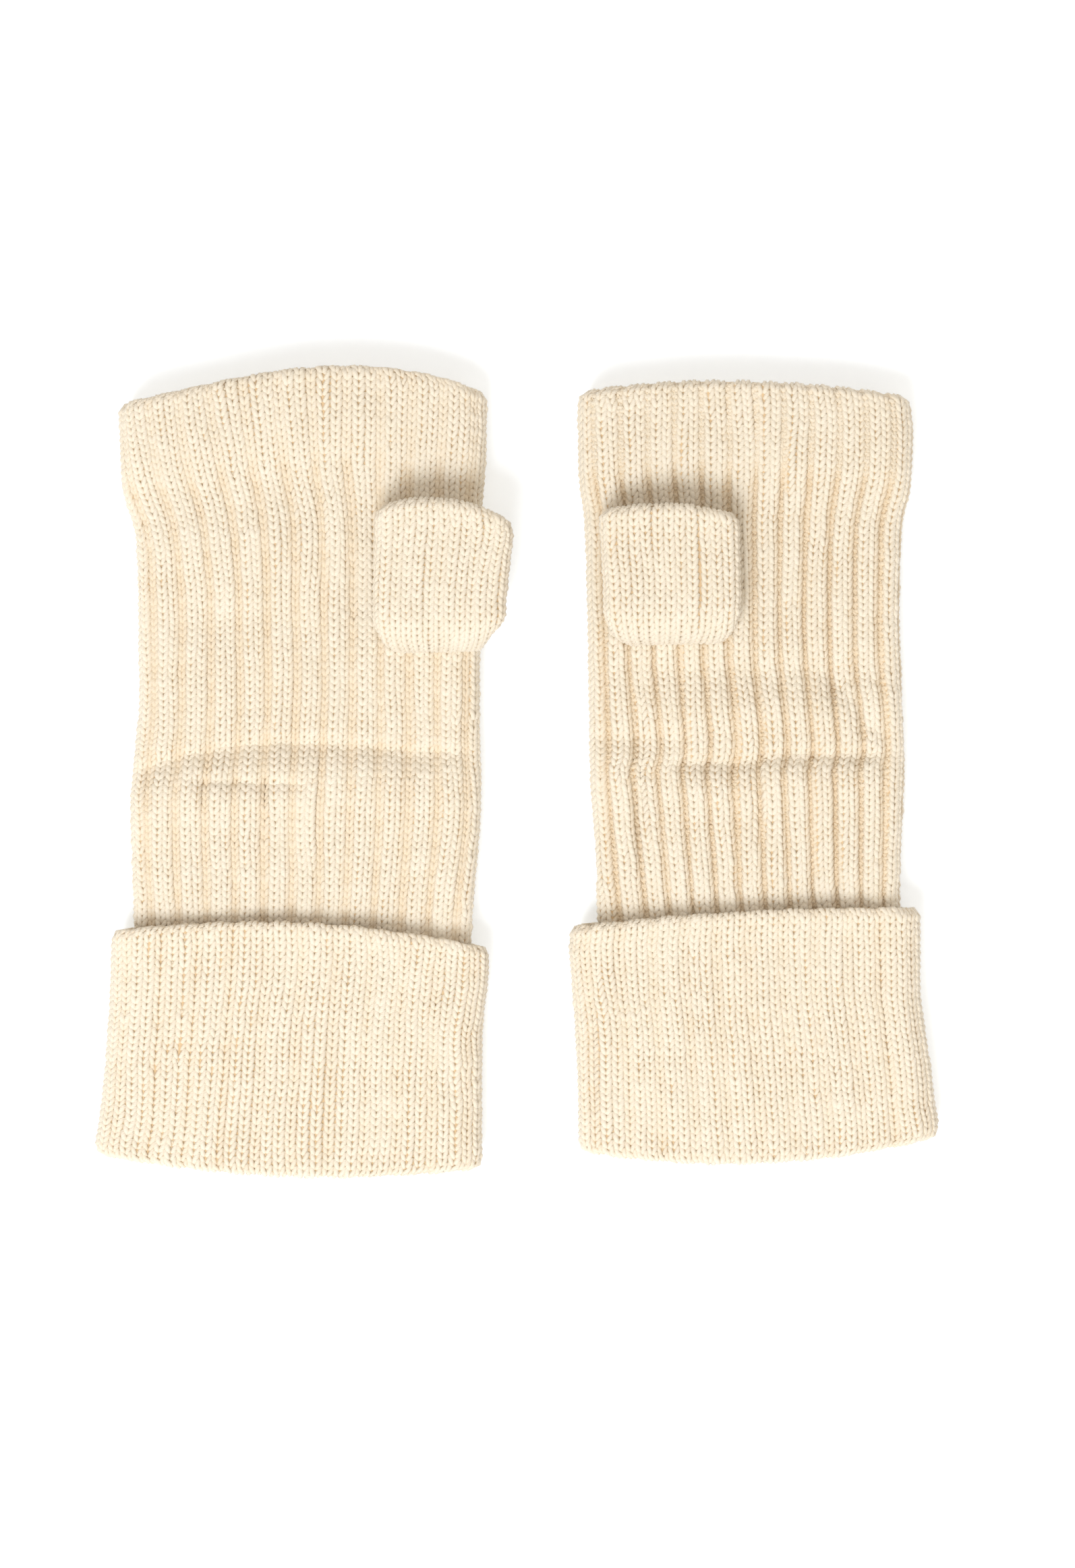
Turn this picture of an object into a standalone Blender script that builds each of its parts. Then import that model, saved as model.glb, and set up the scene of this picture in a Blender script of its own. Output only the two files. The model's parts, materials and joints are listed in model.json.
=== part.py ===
"""A pair of rib-knitted fingerless gloves with turned-up cuffs, lying flat on a table.

The finger ends point to +Y, the fabric rests on z = 0, and the pair is centred on the origin.
Every knitted layer is a closed shell of one fabric thickness. Lengths below are in millimetres.
"""
import math

import bmesh
import bpy
from mathutils import Vector

MM = 0.001

# The knitted fabric
WALL = 2.3  # thickness of one layer
GAP = 0.3  # clearance between layers that touch
CROWN = 1.0  # how much the upper layer rises towards the middle of a tube

# Heights of the stacked layers above the table
BODY_HEIGHT = 12.4
LIFT = WALL + GAP  # what lies on a second layer is lifted by it
DOUBLED_HEIGHT = 15.4  # over a doubled layer, at the finger hem and at the cuff

# The turned-in hem at the finger end and the turned-up cuff at the wrist end
HEM_DEPTH = 25.0
FOLD = 2.4  # how far a fold stands beyond the end of the layer inside it
CORD = 1.2  # diameter of a line of stitching
EDGE_WIDTH = 2.0  # the cast-off chain along a free edge

# The thumb
THUMB_HEIGHT = 9.6
BASE_TAPER = 3.0  # how much narrower each side of the thumb's base is where it meets the palm
OVERHANG_DROP = 3.5  # how far the thumb's base sags where it reaches over the side of the palm
THUMB_HOLE = (20.0, 6.4)  # width and length of the hole in the palm under the thumb's base
HOLE_MARGIN = 0.6  # from the gusset's upper edge to the hole
CUT_REACH = 1.5  # how far the hole's cutter passes each face of the palm

# A ring around a tube: points along each flat side and around each rounded side
FLAT_STEPS = 7
ROUND_STEPS = 6
CORD_SIDES = 6
GUSSET_TURNS = 5  # steps of the gusset's quarter turn
SHARP_ANGLE = 40.0  # edges sharper than this stay creased in the shading

CREAM = (0.86, 0.76, 0.58, 1.0)
SHADED_CREAM = (0.80, 0.69, 0.51, 1.0)
YARN_ROUGHNESS = 0.9


class Tube:
    """A flattened tube along Y. Its stations give y, centre x, half width, lowest and highest z.

    The two ends needn't be straight: ends holds (tilt, bow, skew) for the low-y and the high-y end.
    """

    def __init__(self, stations, low_end, high_end):
        self.stations = stations
        self.low_end = low_end
        self.high_end = high_end

    def at(self, y):
        """Centre x, half width, lowest and highest z at y, eased between the stations."""
        rows = self.stations
        if y <= rows[0][0]:
            return rows[0][1:]
        for low, high in zip(rows, rows[1:]):
            if y <= high[0]:
                t = (y - low[0]) / (high[0] - low[0])
                t = t * t * (3 - 2 * t)
                return tuple(a + (b - a) * t for a, b in zip(low[1:], high[1:]))
        return rows[-1][1:]

    def warped(self, y, across):
        """The y of a point that is across, from -1 to 1, of the way over the tube."""
        first, last = self.stations[0][0], self.stations[-1][0]
        share = (y - first) / (last - first)
        result = y
        for weight, (tilt, bow, skew) in ((1 - share, self.low_end), (share, self.high_end)):
            weight = max(0.0, min(1.0, weight)) ** 2
            result += weight * (tilt * across + bow * (1 - across * across) * (1 + skew * across))
        return result

    def top(self, x, y):
        """The height of the tube's upper surface above the table."""
        centre, half_width, low, high = self.at(y)
        radius = (high - low) / 2
        beyond = max(0.0, abs(x - centre) - (half_width - radius))
        beyond = min(beyond, radius)
        across = min(1.0, abs(x - centre) / half_width)
        return low + radius + math.sqrt(radius * radius - beyond * beyond) + CROWN * (1 - across * across)

    def ring(self, y, inset):
        """The closed ring at y, set in from the tube's outside by inset, as points in metres."""
        centre, half_width, low, high = self.at(y)
        radius = (high - low) / 2 - inset
        middle = (high + low) / 2
        straight = half_width - inset - radius
        outline = []
        for step in range(FLAT_STEPS):
            outline.append((straight - 2 * straight * step / FLAT_STEPS, radius))
        for step in range(ROUND_STEPS):
            angle = math.pi / 2 + math.pi * step / ROUND_STEPS
            outline.append((-straight + radius * math.cos(angle), radius * math.sin(angle)))
        for step in range(FLAT_STEPS):
            outline.append((-straight + 2 * straight * step / FLAT_STEPS, -radius))
        for step in range(ROUND_STEPS):
            angle = -math.pi / 2 + math.pi * step / ROUND_STEPS
            outline.append((straight + radius * math.cos(angle), radius * math.sin(angle)))
        points = []
        for x, z in outline:
            across = x / half_width
            crown = CROWN * (1 - across * across) if z > 0 else 0.0
            rise = crown * max(0.0, z) / max(radius, 0.1)
            points.append(Vector((centre + x, self.warped(y, across), middle + z + rise)) * MM)
        return points


def wool(name, colour):
    material = bpy.data.materials.new(name)
    material.use_nodes = True
    shader = material.node_tree.nodes["Principled BSDF"]
    shader.inputs["Base Color"].default_value = colour
    shader.inputs["Roughness"].default_value = YARN_ROUGHNESS
    shader.inputs["Metallic"].default_value = 0.0
    return material


def finish(bm, name, colour):
    """Turns a closed bmesh into a named, smooth-shaded object with its own material."""
    bmesh.ops.recalc_face_normals(bm, faces=bm.faces)
    if bm.calc_volume(signed=True) < 0:
        bmesh.ops.reverse_faces(bm, faces=bm.faces)
    mesh = bpy.data.meshes.new(name)
    bm.to_mesh(mesh)
    bm.free()
    mesh.shade_smooth()
    mesh.set_sharp_from_angle(angle=math.radians(SHARP_ANGLE))
    mesh.materials.append(wool(name, colour))
    result = bpy.data.objects.new(name, mesh)
    bpy.context.scene.collection.objects.link(result)
    return result


def loft(name, rings, colour):
    """A closed shell from rings that follow each other round a section and back to its start."""
    bm = bmesh.new()
    rows = [[bm.verts.new(p) for p in ring] for ring in rings]
    count = len(rows[0])
    for row, following in zip(rows, rows[1:] + rows[:1]):
        for i in range(count):
            j = (i + 1) % count
            bm.faces.new((row[i], row[j], following[j], following[i]))
    return finish(bm, name, colour)


def rows_between(tube, first, last):
    """The y of each ring from first to last: at the tube's stations and halfway between them."""
    low, high = sorted((first, last))
    inner = [station[0] for station in tube.stations if low + 1.0 < station[0] < high - 1.0]
    stops = [low] + inner + [high]
    rows = []
    for start, end in zip(stops, stops[1:]):
        rows += [start, (start + end) / 2]
    rows.append(high)
    return rows if first <= last else rows[::-1]


def layer(name, tube, low, high, inset, colour):
    """One layer of fabric between two y values, inset from the tube's outside."""
    outside = [tube.ring(y, inset) for y in rows_between(tube, low, high)]
    inside = [tube.ring(y, inset + WALL) for y in rows_between(tube, high, low)]
    return loft(name, outside + inside, colour)


def edge_chain(name, tube, y, direction, inset, width, colour):
    """A rounded line of stitches round the tube at y, growing in direction (+1 or -1) along Y."""
    middle = inset + width / 2
    rings = []
    for step in range(CORD_SIDES):
        angle = 2 * math.pi * step / CORD_SIDES
        across = middle + width / 2 * math.cos(angle)
        rings.append(tube.ring(y + direction * EDGE_WIDTH / 2 * (1 + math.sin(angle)), across))
    return loft(name, rings, colour)


def folded_layer(name, tube, edge, end, direction, lip, wall_inset, flange, colour):
    """A layer whose end at edge folds over: a wall from edge to end, and a rounded flange at edge.

    direction is +1 where the fold points to +Y. The wall lies at wall_inset, and the flange reaches
    over lip, the lowest and highest inset of the layers that the fold closes.
    """
    outer, inner = lip
    round_off = WALL * 0.4
    far = [tube.ring(y, wall_inset[1]) for y in rows_between(tube, flange, end)]
    near = [tube.ring(y, wall_inset[0]) for y in rows_between(tube, end, flange)]
    shoulder = edge - direction * round_off
    if wall_inset[0] <= outer:
        rim = [(shoulder, outer), (edge, outer + round_off), (edge, inner - round_off)]
        rim += [(shoulder, inner), (flange, inner)]
        return loft(name, near + [tube.ring(y, i) for y, i in rim] + far, colour)
    rim = [(shoulder, inner), (edge, inner - round_off), (edge, outer + round_off)]
    rim += [(shoulder, outer), (flange, outer)]
    return loft(name, [tube.ring(y, i) for y, i in rim] + near[::-1] + far[::-1], colour)


def thumb_ring_half(half_width, height, inset):
    """The thumb's section without its flat underside, as (x, height above the palm) pairs."""
    radius = height / 2 - inset
    straight = half_width - inset - radius
    points = []
    for step in range(ROUND_STEPS + 1):
        angle = 1.5 * math.pi - math.pi * step / ROUND_STEPS
        points.append((-straight + radius * math.cos(angle), height / 2 + radius * math.sin(angle)))
    for step in range(1, FLAT_STEPS):
        points.append((-straight + 2 * straight * step / FLAT_STEPS, height - inset))
    for step in range(ROUND_STEPS + 1):
        angle = 0.5 * math.pi - math.pi * step / ROUND_STEPS
        points.append((straight + radius * math.cos(angle), height / 2 + radius * math.sin(angle)))
    return points


def thumb_gusset(name, hand, thumb, palm_z, colour):
    """The fabric that turns from the palm up into the thumb: a quarter turn about the hinge line."""
    centre, half_width, hinge_y = thumb[:3]
    lift = GAP

    def sheet(inset):
        rows = []
        for turn in range(GUSSET_TURNS + 1):
            angle = math.pi / 2 * turn / GUSSET_TURNS
            taper = 1 - BASE_TAPER / half_width * (1 - math.cos(angle))
            row = []
            for x, height in thumb_ring_half(half_width, THUMB_HEIGHT, inset):
                reach = height + lift
                y = hinge_y - lift - reach * math.sin(angle)
                sag = max(0.0, palm_z - GAP - hand.top(centre + x * taper, y))
                drop = min(OVERHANG_DROP, sag) * math.sin(angle) ** 2
                z = palm_z + lift + reach * math.cos(angle) - drop
                row.append(Vector((centre + x * taper, y, z)) * MM)
            rows.append(row)
        return rows

    bm = bmesh.new()
    outside = [[bm.verts.new(p) for p in row] for row in sheet(0.0)]
    inside = [[bm.verts.new(p) for p in row] for row in sheet(WALL)]
    across = len(outside[0]) - 1
    for rows in (outside, inside):
        for row, following in zip(rows, rows[1:]):
            for i in range(across):
                bm.faces.new((row[i], row[i + 1], following[i + 1], following[i]))
    for turn in (0, GUSSET_TURNS):
        for i in range(across):
            corners = (outside[turn][i], outside[turn][i + 1], inside[turn][i + 1], inside[turn][i])
            bm.faces.new(corners)
    for i in (0, across):
        for turn in range(GUSSET_TURNS):
            corners = (outside[turn][i], outside[turn + 1][i], inside[turn + 1][i], inside[turn][i])
            bm.faces.new(corners)
    return finish(bm, name, colour)


def thumb_seam(name, hand, thumb, palm_z, colour):
    """The joining line on the palm, round the foot of the gusset, as a square-cut cord."""
    centre, half_width, hinge_y = thumb[:3]
    bm = bmesh.new()
    rows = []
    for x, height in thumb_ring_half(half_width + GAP, THUMB_HEIGHT + GAP, 0.0):
        on_palm = hand.top(centre + x, hinge_y - height) > palm_z - OVERHANG_DROP
        if height < THUMB_HEIGHT / 5 or not on_palm:
            continue
        outward = Vector((x / half_width, -height / THUMB_HEIGHT)).normalized()
        base = Vector((centre + x, hinge_y - 2 * GAP - height))
        near = base + outward * 2 * GAP
        far = near + outward * CORD
        rest = max(hand.top(p.x, p.y) for p in (base, near, far)) + 2 * GAP
        section = [(near, rest), (far, rest), (far, rest + CORD), (near, rest + CORD)]
        rows.append([bm.verts.new(Vector((p.x, p.y, z)) * MM) for p, z in section])
    for row, following in zip(rows, rows[1:]):
        for i in range(4):
            j = (i + 1) % 4
            bm.faces.new((row[i], row[j], following[j], following[i]))
    bm.faces.new(rows[0])
    bm.faces.new(rows[-1])
    return finish(bm, name, colour)


def cut_thumb_hole(sleeve, hole_x, hinge_y, palm_z):
    """Opens the palm under the thumb's base, with a cutter through the upper layer only."""
    width, length = THUMB_HOLE
    bpy.ops.mesh.primitive_cube_add(size=1.0)
    cutter = bpy.context.active_object
    cutter.name = sleeve.name + "_thumb_hole_cutter"
    middle_y = hinge_y - 2 * GAP - length / 2 - HOLE_MARGIN
    for vertex in cutter.data.vertices:
        x = hole_x + vertex.co.x * width
        y = middle_y + vertex.co.y * length
        z = palm_z - WALL / 2 + vertex.co.z * (WALL + 2 * CUT_REACH)
        vertex.co = Vector((x, y, z)) * MM
    cutter.hide_render = True
    cutter.display_type = "WIRE"
    cut = sleeve.modifiers.new("thumb_hole", "BOOLEAN")
    cut.operation = "DIFFERENCE"
    cut.solver = "EXACT"
    cut.object = cutter


def pivot(name, location):
    """An empty on a joint's axis, which carries the pieces that move about it."""
    empty = bpy.data.objects.new(name, None)
    empty.location = location
    bpy.context.scene.collection.objects.link(empty)
    return empty


def carry(empty, pieces):
    """Parents pieces to the empty without moving them."""
    bpy.context.view_layer.update()
    for piece in pieces:
        piece.parent = empty
        piece.matrix_parent_inverse = empty.matrix_world.inverted()


def glove(side, hand, cuff, thumb, hole_x):
    """One glove. thumb is (centre x, half width, hinge y, tip y, lean, slope and bow of its open end)."""
    palm_z = BODY_HEIGHT + CROWN
    top = hand.stations[-1][0]
    bottom = cuff.stations[0][0]
    cuff_top = cuff.stations[-1][0]
    doubled = WALL + GAP + WALL

    sleeve = layer(side + "_hand_sleeve", hand, bottom + FOLD + GAP, top - FOLD - GAP, 0.0, CREAM)
    hem_insets = (WALL + GAP, doubled)
    lip = (0.0, doubled)
    folded_layer(side + "_finger_hem", hand, top, top - HEM_DEPTH, 1, lip, hem_insets, top - FOLD, CREAM)
    stitching_y = top - HEM_DEPTH - GAP
    edge_chain(side + "_hem_stitching", hand, stitching_y, -1, WALL + 2 * GAP, CORD, SHADED_CREAM)

    wall = (0.0, WALL)
    turned = folded_layer(side + "_turned_cuff", cuff, bottom, cuff_top, -1, lip, wall, bottom + FOLD, CREAM)
    rim = edge_chain(side + "_cuff_edge", cuff, cuff_top + GAP, 1, 0.0, WALL, SHADED_CREAM)
    slide = pivot(side + "_cuff_turn", Vector((cuff.stations[0][1], bottom, DOUBLED_HEIGHT / 2)) * MM)
    carry(slide, (turned, rim))

    centre, half_width, hinge_y, tip_y, lean, tip_end = thumb
    low = palm_z + GAP
    high = low + THUMB_HEIGHT
    thumb_tube = Tube(
        (
            (hinge_y + GAP, centre, half_width, low, high),
            (tip_y, centre + lean, half_width + abs(lean) / 2, low, high),
        ),
        (0.0, 0.0, 0.0),
        tip_end,
    )
    tube = layer(side + "_thumb_tube", thumb_tube, hinge_y + GAP, tip_y, 0.0, CREAM)
    tip = edge_chain(side + "_thumb_edge", thumb_tube, tip_y + GAP, 1, 0.0, WALL, SHADED_CREAM)
    thumb_gusset(side + "_thumb_gusset", hand, thumb, palm_z, CREAM)
    thumb_seam(side + "_thumb_seam", hand, thumb, palm_z, SHADED_CREAM)
    cut_thumb_hole(sleeve, hole_x, hinge_y, palm_z)
    hinge = pivot(side + "_thumb_fold", Vector((centre, hinge_y, palm_z)) * MM)
    carry(hinge, (tube, tip))


def main():
    for old in list(bpy.data.objects):
        bpy.data.objects.remove(old)

    raised = (LIFT, BODY_HEIGHT)
    flat = (0.0, BODY_HEIGHT)
    doubled = (0.0, DOUBLED_HEIGHT)

    left_hand = Tube(
        (
            (-106.0, -61.0, 45.2) + raised,
            (-38.0, -57.9, 46.2) + raised,
            (-22.0, -57.5, 47.4) + flat,
            (-8.0, -57.2, 48.2) + flat,
            (18.0, -56.2, 46.6) + flat,
            (68.0, -56.4, 47.2) + flat,
            (77.0, -57.7, 49.6) + doubled,
            (101.12, -57.8, 50.4) + doubled,
        ),
        (-2.1, -3.6, 0.0),
        (1.6, 8.4, 0.4),
    )
    left_cuff = Tube(
        (
            (-105.9, -61.7, 52.88) + doubled,
            (-86.0, -60.6, 51.6) + doubled,
            (-67.0, -59.8, 51.0) + doubled,
            (-46.6, -58.4, 51.6) + doubled,
        ),
        (-2.1, -4.0, 0.0),
        (-2.7, 4.6, 0.0),
    )
    right_hand = Tube(
        (
            (-101.0, 64.4, 41.2) + raised,
            (-33.0, 62.7, 41.4) + raised,
            (-17.0, 62.7, 42.2) + flat,
            (2.0, 62.5, 43.4) + flat,
            (38.0, 61.5, 42.8) + flat,
            (69.5, 61.4, 43.6) + flat,
            (77.0, 61.8, 45.6) + doubled,
            (102.2, 62.0, 46.0) + doubled,
        ),
        (2.2, -5.0, 0.0),
        (-0.6, 3.6, -0.2),
    )
    right_cuff = Tube(
        (
            (-101.4, 65.5, 49.1) + doubled,
            (-84.0, 64.4, 48.3) + doubled,
            (-63.0, 62.4, 47.2) + doubled,
            (-41.0, 61.5, 48.1) + doubled,
        ),
        (2.2, -5.0, 0.0),
        (2.6, 1.8, 0.0),
    )
    left_thumb = (-21.0, 18.2, 42.6, 67.2, 1.6, (-2.2, 4.6, 0.0))
    right_thumb = (41.9, 18.8, 44.6, 67.6, -1.0, (-0.6, 2.6, 0.0))
    glove("left", left_hand, left_cuff, left_thumb, -26.0)
    glove("right", right_hand, right_cuff, right_thumb, 41.9)


main()
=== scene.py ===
"""The looks of a pair of rib-knitted fingerless gloves, knitted loop by loop round the CAD frame.

Each layer of fabric is measured from its CAD solid, and every course of stitches is one closed
strand of yarn that runs round the tube through all its loops. Lengths are in millimetres.
"""
import json
import math

import bpy
import numpy as np
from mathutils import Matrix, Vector
from mathutils.bvhtree import BVHTree

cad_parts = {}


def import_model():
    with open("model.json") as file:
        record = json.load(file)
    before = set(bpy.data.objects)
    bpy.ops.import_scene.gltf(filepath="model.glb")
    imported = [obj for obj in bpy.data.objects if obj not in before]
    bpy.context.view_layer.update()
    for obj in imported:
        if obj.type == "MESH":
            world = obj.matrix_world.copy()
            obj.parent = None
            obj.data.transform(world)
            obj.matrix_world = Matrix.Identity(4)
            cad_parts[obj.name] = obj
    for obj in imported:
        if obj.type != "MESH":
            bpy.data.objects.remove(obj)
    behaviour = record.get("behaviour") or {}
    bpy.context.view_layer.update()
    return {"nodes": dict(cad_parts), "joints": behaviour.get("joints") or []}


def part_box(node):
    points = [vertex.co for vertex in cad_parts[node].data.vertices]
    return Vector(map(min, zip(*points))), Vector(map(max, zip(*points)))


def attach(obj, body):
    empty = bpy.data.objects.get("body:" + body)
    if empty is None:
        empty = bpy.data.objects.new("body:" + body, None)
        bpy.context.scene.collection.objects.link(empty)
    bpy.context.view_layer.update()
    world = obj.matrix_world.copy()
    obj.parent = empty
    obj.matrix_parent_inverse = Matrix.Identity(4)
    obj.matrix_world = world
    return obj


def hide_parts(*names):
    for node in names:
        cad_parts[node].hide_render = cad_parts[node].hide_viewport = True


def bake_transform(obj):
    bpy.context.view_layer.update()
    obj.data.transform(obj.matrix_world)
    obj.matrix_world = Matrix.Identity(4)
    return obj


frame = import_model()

MM = 0.001
FABRIC = 2.3  # thickness of one knitted layer
CLEARANCE = 0.3  # between two layers that touch
CROWN = 1.0  # how much a tube's upper layer rises towards its middle
FOLD_RADIUS = (FABRIC + CLEARANCE) / 2
COURSE = 1.93  # distance between courses of stitches
LOOP_STEPS = 10  # points along the yarn in one stitch
YARN_SIDES = 6
YARN_RADIUS = 0.765
YARN_FLATNESS = 0.88  # how thick a strand is as a share of its width
PAINTED_SHADE_TOP = 0.95  # yarn this far out gets no painted shade
PAINTED_SHADE_RANGE = 2.3  # and yarn this much deeper gets the full painted shade
CORE_THICKNESS = 0.5  # of the shell that lies between the faces of the loops
CORE_STEP = 1.2  # distance between the core's rows
BASE_TAPER = 3.0  # how much narrower each side of a thumb's base is where it meets the palm
COLUMNS = 768  # points round a tube in a surface grid
ROW_STEP = 0.6
CORNER = 3.4  # how round a tube's corners are where its side meets an end
CURL = 1.0  # radius of the roll at a cast-off edge
ROLL_TURN = math.pi * 0.85  # how far round that edge rolls inwards
FOLD_POINTS = 9
ROLL_POINTS = 7
HEM_DEPTH = 21.0  # how far the finger end's inner layer runs back inside
BAND_HEIGHT = 24.0  # how far below the finger end the doubled band starts
LIP_DEPTH = 2.5  # how far the cuff's fold runs back inside the wrist
ROOT_DEPTH = 1.8  # how far the thumb's lowest row sinks into the palm
BASE_ROWS = 20  # rows round the bend at a thumb's base
BAND = 18  # the most courses in one piece of knitting
TIP_COURSES = 2  # courses in a thumb's cast-off edge
HOLE_WIDTH, HOLE_LENGTH, HOLE_FLOOR = 24.0, 6.4, 8.0
HOLE_BEHIND = 4.4  # how far the thumb hole's middle lies behind the hinge

rng = np.random.default_rng(7)


# ---------------------------------------------------------------- measuring the frame


def node_tree(names):
    """A search tree over the CAD solids with these names, in millimetres."""
    vertices, polygons = [], []
    for name in names:
        mesh = frame["nodes"][name].data
        start = len(vertices)
        vertices += [v.co / MM for v in mesh.vertices]
        polygons += [[start + i for i in p.vertices] for p in mesh.polygons]
    return BVHTree.FromPolygons(vertices, polygons)


def node_box(names):
    corners = [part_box(name) for name in names]
    low = np.min([np.array(c[0]) for c in corners], 0) / MM
    high = np.max([np.array(c[1]) for c in corners], 0) / MM
    return low, high


def smoothed(values, rounds):
    for _ in range(rounds):
        padded = np.concatenate([values[:1], values, values[-1:]])
        values = (padded[:-2] + 2 * padded[1:-1] + padded[2:]) / 4
    return values


class Tube:
    """The outside of a flattened CAD tube along Y: its width and height along it, and its two ends."""

    SAMPLES = 80
    END_SAMPLES = 13
    REACH = 300.0  # from where the measuring rays start
    CLEAR_OF_END = 3.0
    INTO_WALL = 22.0  # how far in from an end its lower wall is found

    def __init__(self, names, round_ends=(True, True)):
        self.tree = node_tree(names)
        low, high = node_box(names)
        self.low_end = self.end_curve(low, high, 1)
        self.high_end = self.end_curve(low, high, -1)
        self.first = self.low_end[3] + self.low_end[1]
        self.last = self.high_end[3] + self.high_end[1]
        self.round_ends = round_ends
        self.y = np.linspace(self.first + self.CLEAR_OF_END, self.last - self.CLEAR_OF_END, self.SAMPLES)
        rows = np.array([self.section(y, low, high) for y in self.y])
        self.centre, self.half, self.bottom, self.top = (smoothed(r, 4) for r in rows.T)

    def hit(self, origin, direction):
        point = self.tree.ray_cast(Vector(origin), Vector(direction))[0]
        return None if point is None else np.array(point)

    def end_curve(self, low, high, direction):
        """The end's y as a cubic of the position across, -1 to 1, seen through the lower wall."""
        middle, half = (low[0] + high[0]) / 2, (high[0] - low[0]) / 2
        start = low[1] - 5 if direction > 0 else high[1] + 5
        found = []
        for across in np.linspace(-0.8, 0.8, self.END_SAMPLES):
            x = middle + across * half
            floor = self.hit((x, start + direction * self.INTO_WALL, -self.REACH), (0, 0, 1))
            wall = floor[2] + FABRIC / 2
            point = self.hit((x, start, wall), (0, direction, 0))
            found.append((across, point[1]))
        across, y = np.array(found).T
        return np.polyfit(across, y, 3)

    def section(self, y, low, high):
        middle = (low[2] + high[2]) / 2 - CROWN
        left = self.hit((-self.REACH, y, middle), (1, 0, 0))[0]
        right = self.hit((self.REACH, y, middle), (-1, 0, 0))[0]
        centre = (left + right) / 2
        bottom = self.hit((centre, y, -self.REACH), (0, 0, 1))[2]
        top = self.hit((centre, y, self.REACH), (0, 0, -1))[2]
        return centre, (right - left) / 2, bottom, top - CROWN

    def warp(self, y, across):
        """How far a point of the course at y moves along Y, because the ends are curved."""
        share = np.clip((y - self.first) / (self.last - self.first), 0, 1)
        low = np.polyval(self.low_end, across) - self.first
        high = np.polyval(self.high_end, across) - self.last
        return (1 - share) ** 2 * low + share**2 * high

    def section_at(self, y):
        return [np.interp(y, self.y, v) for v in (self.centre, self.half, self.bottom, self.top)]

    def rounding(self, y):
        """How much each side draws in near an end, where the tube's corners are round."""
        low = y - self.first if self.round_ends[0] else CORNER
        high = self.last - y if self.round_ends[1] else CORNER
        to_end = np.minimum(low, high)
        beyond = np.clip(CORNER - to_end, 0, CORNER)
        return CORNER - np.sqrt(CORNER**2 - beyond**2)

    def wrap(self, x, y):
        """Where cloth laid on the upper face at x and y lies, when it follows the tube down its sides."""
        centre, half, bottom, top = self.section_at(y)
        radius = (top - bottom) / 2
        straight = half - radius
        offset = x - centre
        over = np.maximum(np.abs(offset) - straight, 0)
        angle = np.minimum(over / radius, math.pi * 0.6)
        wrapped = centre + np.sign(offset) * (np.minimum(np.abs(offset), straight) + radius * np.sin(angle))
        across = (wrapped - centre) / half
        rise = CROWN * (1 - across**2) * np.cos(angle).clip(0, 1)
        return wrapped, (top + bottom) / 2 + radius * np.cos(angle) + rise

    def rings(self, y, inset):
        """Rings of points at each y, set in from the outside by inset: an array (rows, COLUMNS, 3)."""
        y, inset = (np.asarray(v, float)[:, None] for v in (y, inset))
        centre, half, bottom, top = self.section_at(y)
        half = half - self.rounding(y)
        radius = (top - bottom) / 2 - inset
        straight = half - inset - radius
        around = 4 * straight + 2 * math.pi * radius
        run = np.arange(COLUMNS)[None] / COLUMNS * around
        quarter = radius * math.pi / 2
        angle = math.pi - run / radius
        x = -straight + radius * np.cos(angle)
        z = radius * np.sin(angle)
        on_top = run > quarter
        x = np.where(on_top, run - quarter - straight, x)
        z = np.where(on_top, radius, z)
        right = run > quarter + 2 * straight
        angle = math.pi / 2 - (run - quarter - 2 * straight) / radius
        x = np.where(right, straight + radius * np.cos(angle), x)
        z = np.where(right, radius * np.sin(angle), z)
        under = run > 3 * quarter + 2 * straight
        x = np.where(under, straight - (run - 3 * quarter - 2 * straight), x)
        z = np.where(under, -radius, z)
        left = run > 3 * quarter + 4 * straight
        angle = -math.pi / 2 - (run - 3 * quarter - 4 * straight) / radius
        x = np.where(left, -straight + radius * np.cos(angle), x)
        z = np.where(left, radius * np.sin(angle), z)
        across = x / half
        rise = CROWN * (1 - across**2) * np.clip(z / radius, 0, 1)
        middle = (top + bottom) / 2
        return np.stack([centre + x, y + self.warp(y, across), middle + z + rise], -1)


# ---------------------------------------------------------------- surfaces and yarn


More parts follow.
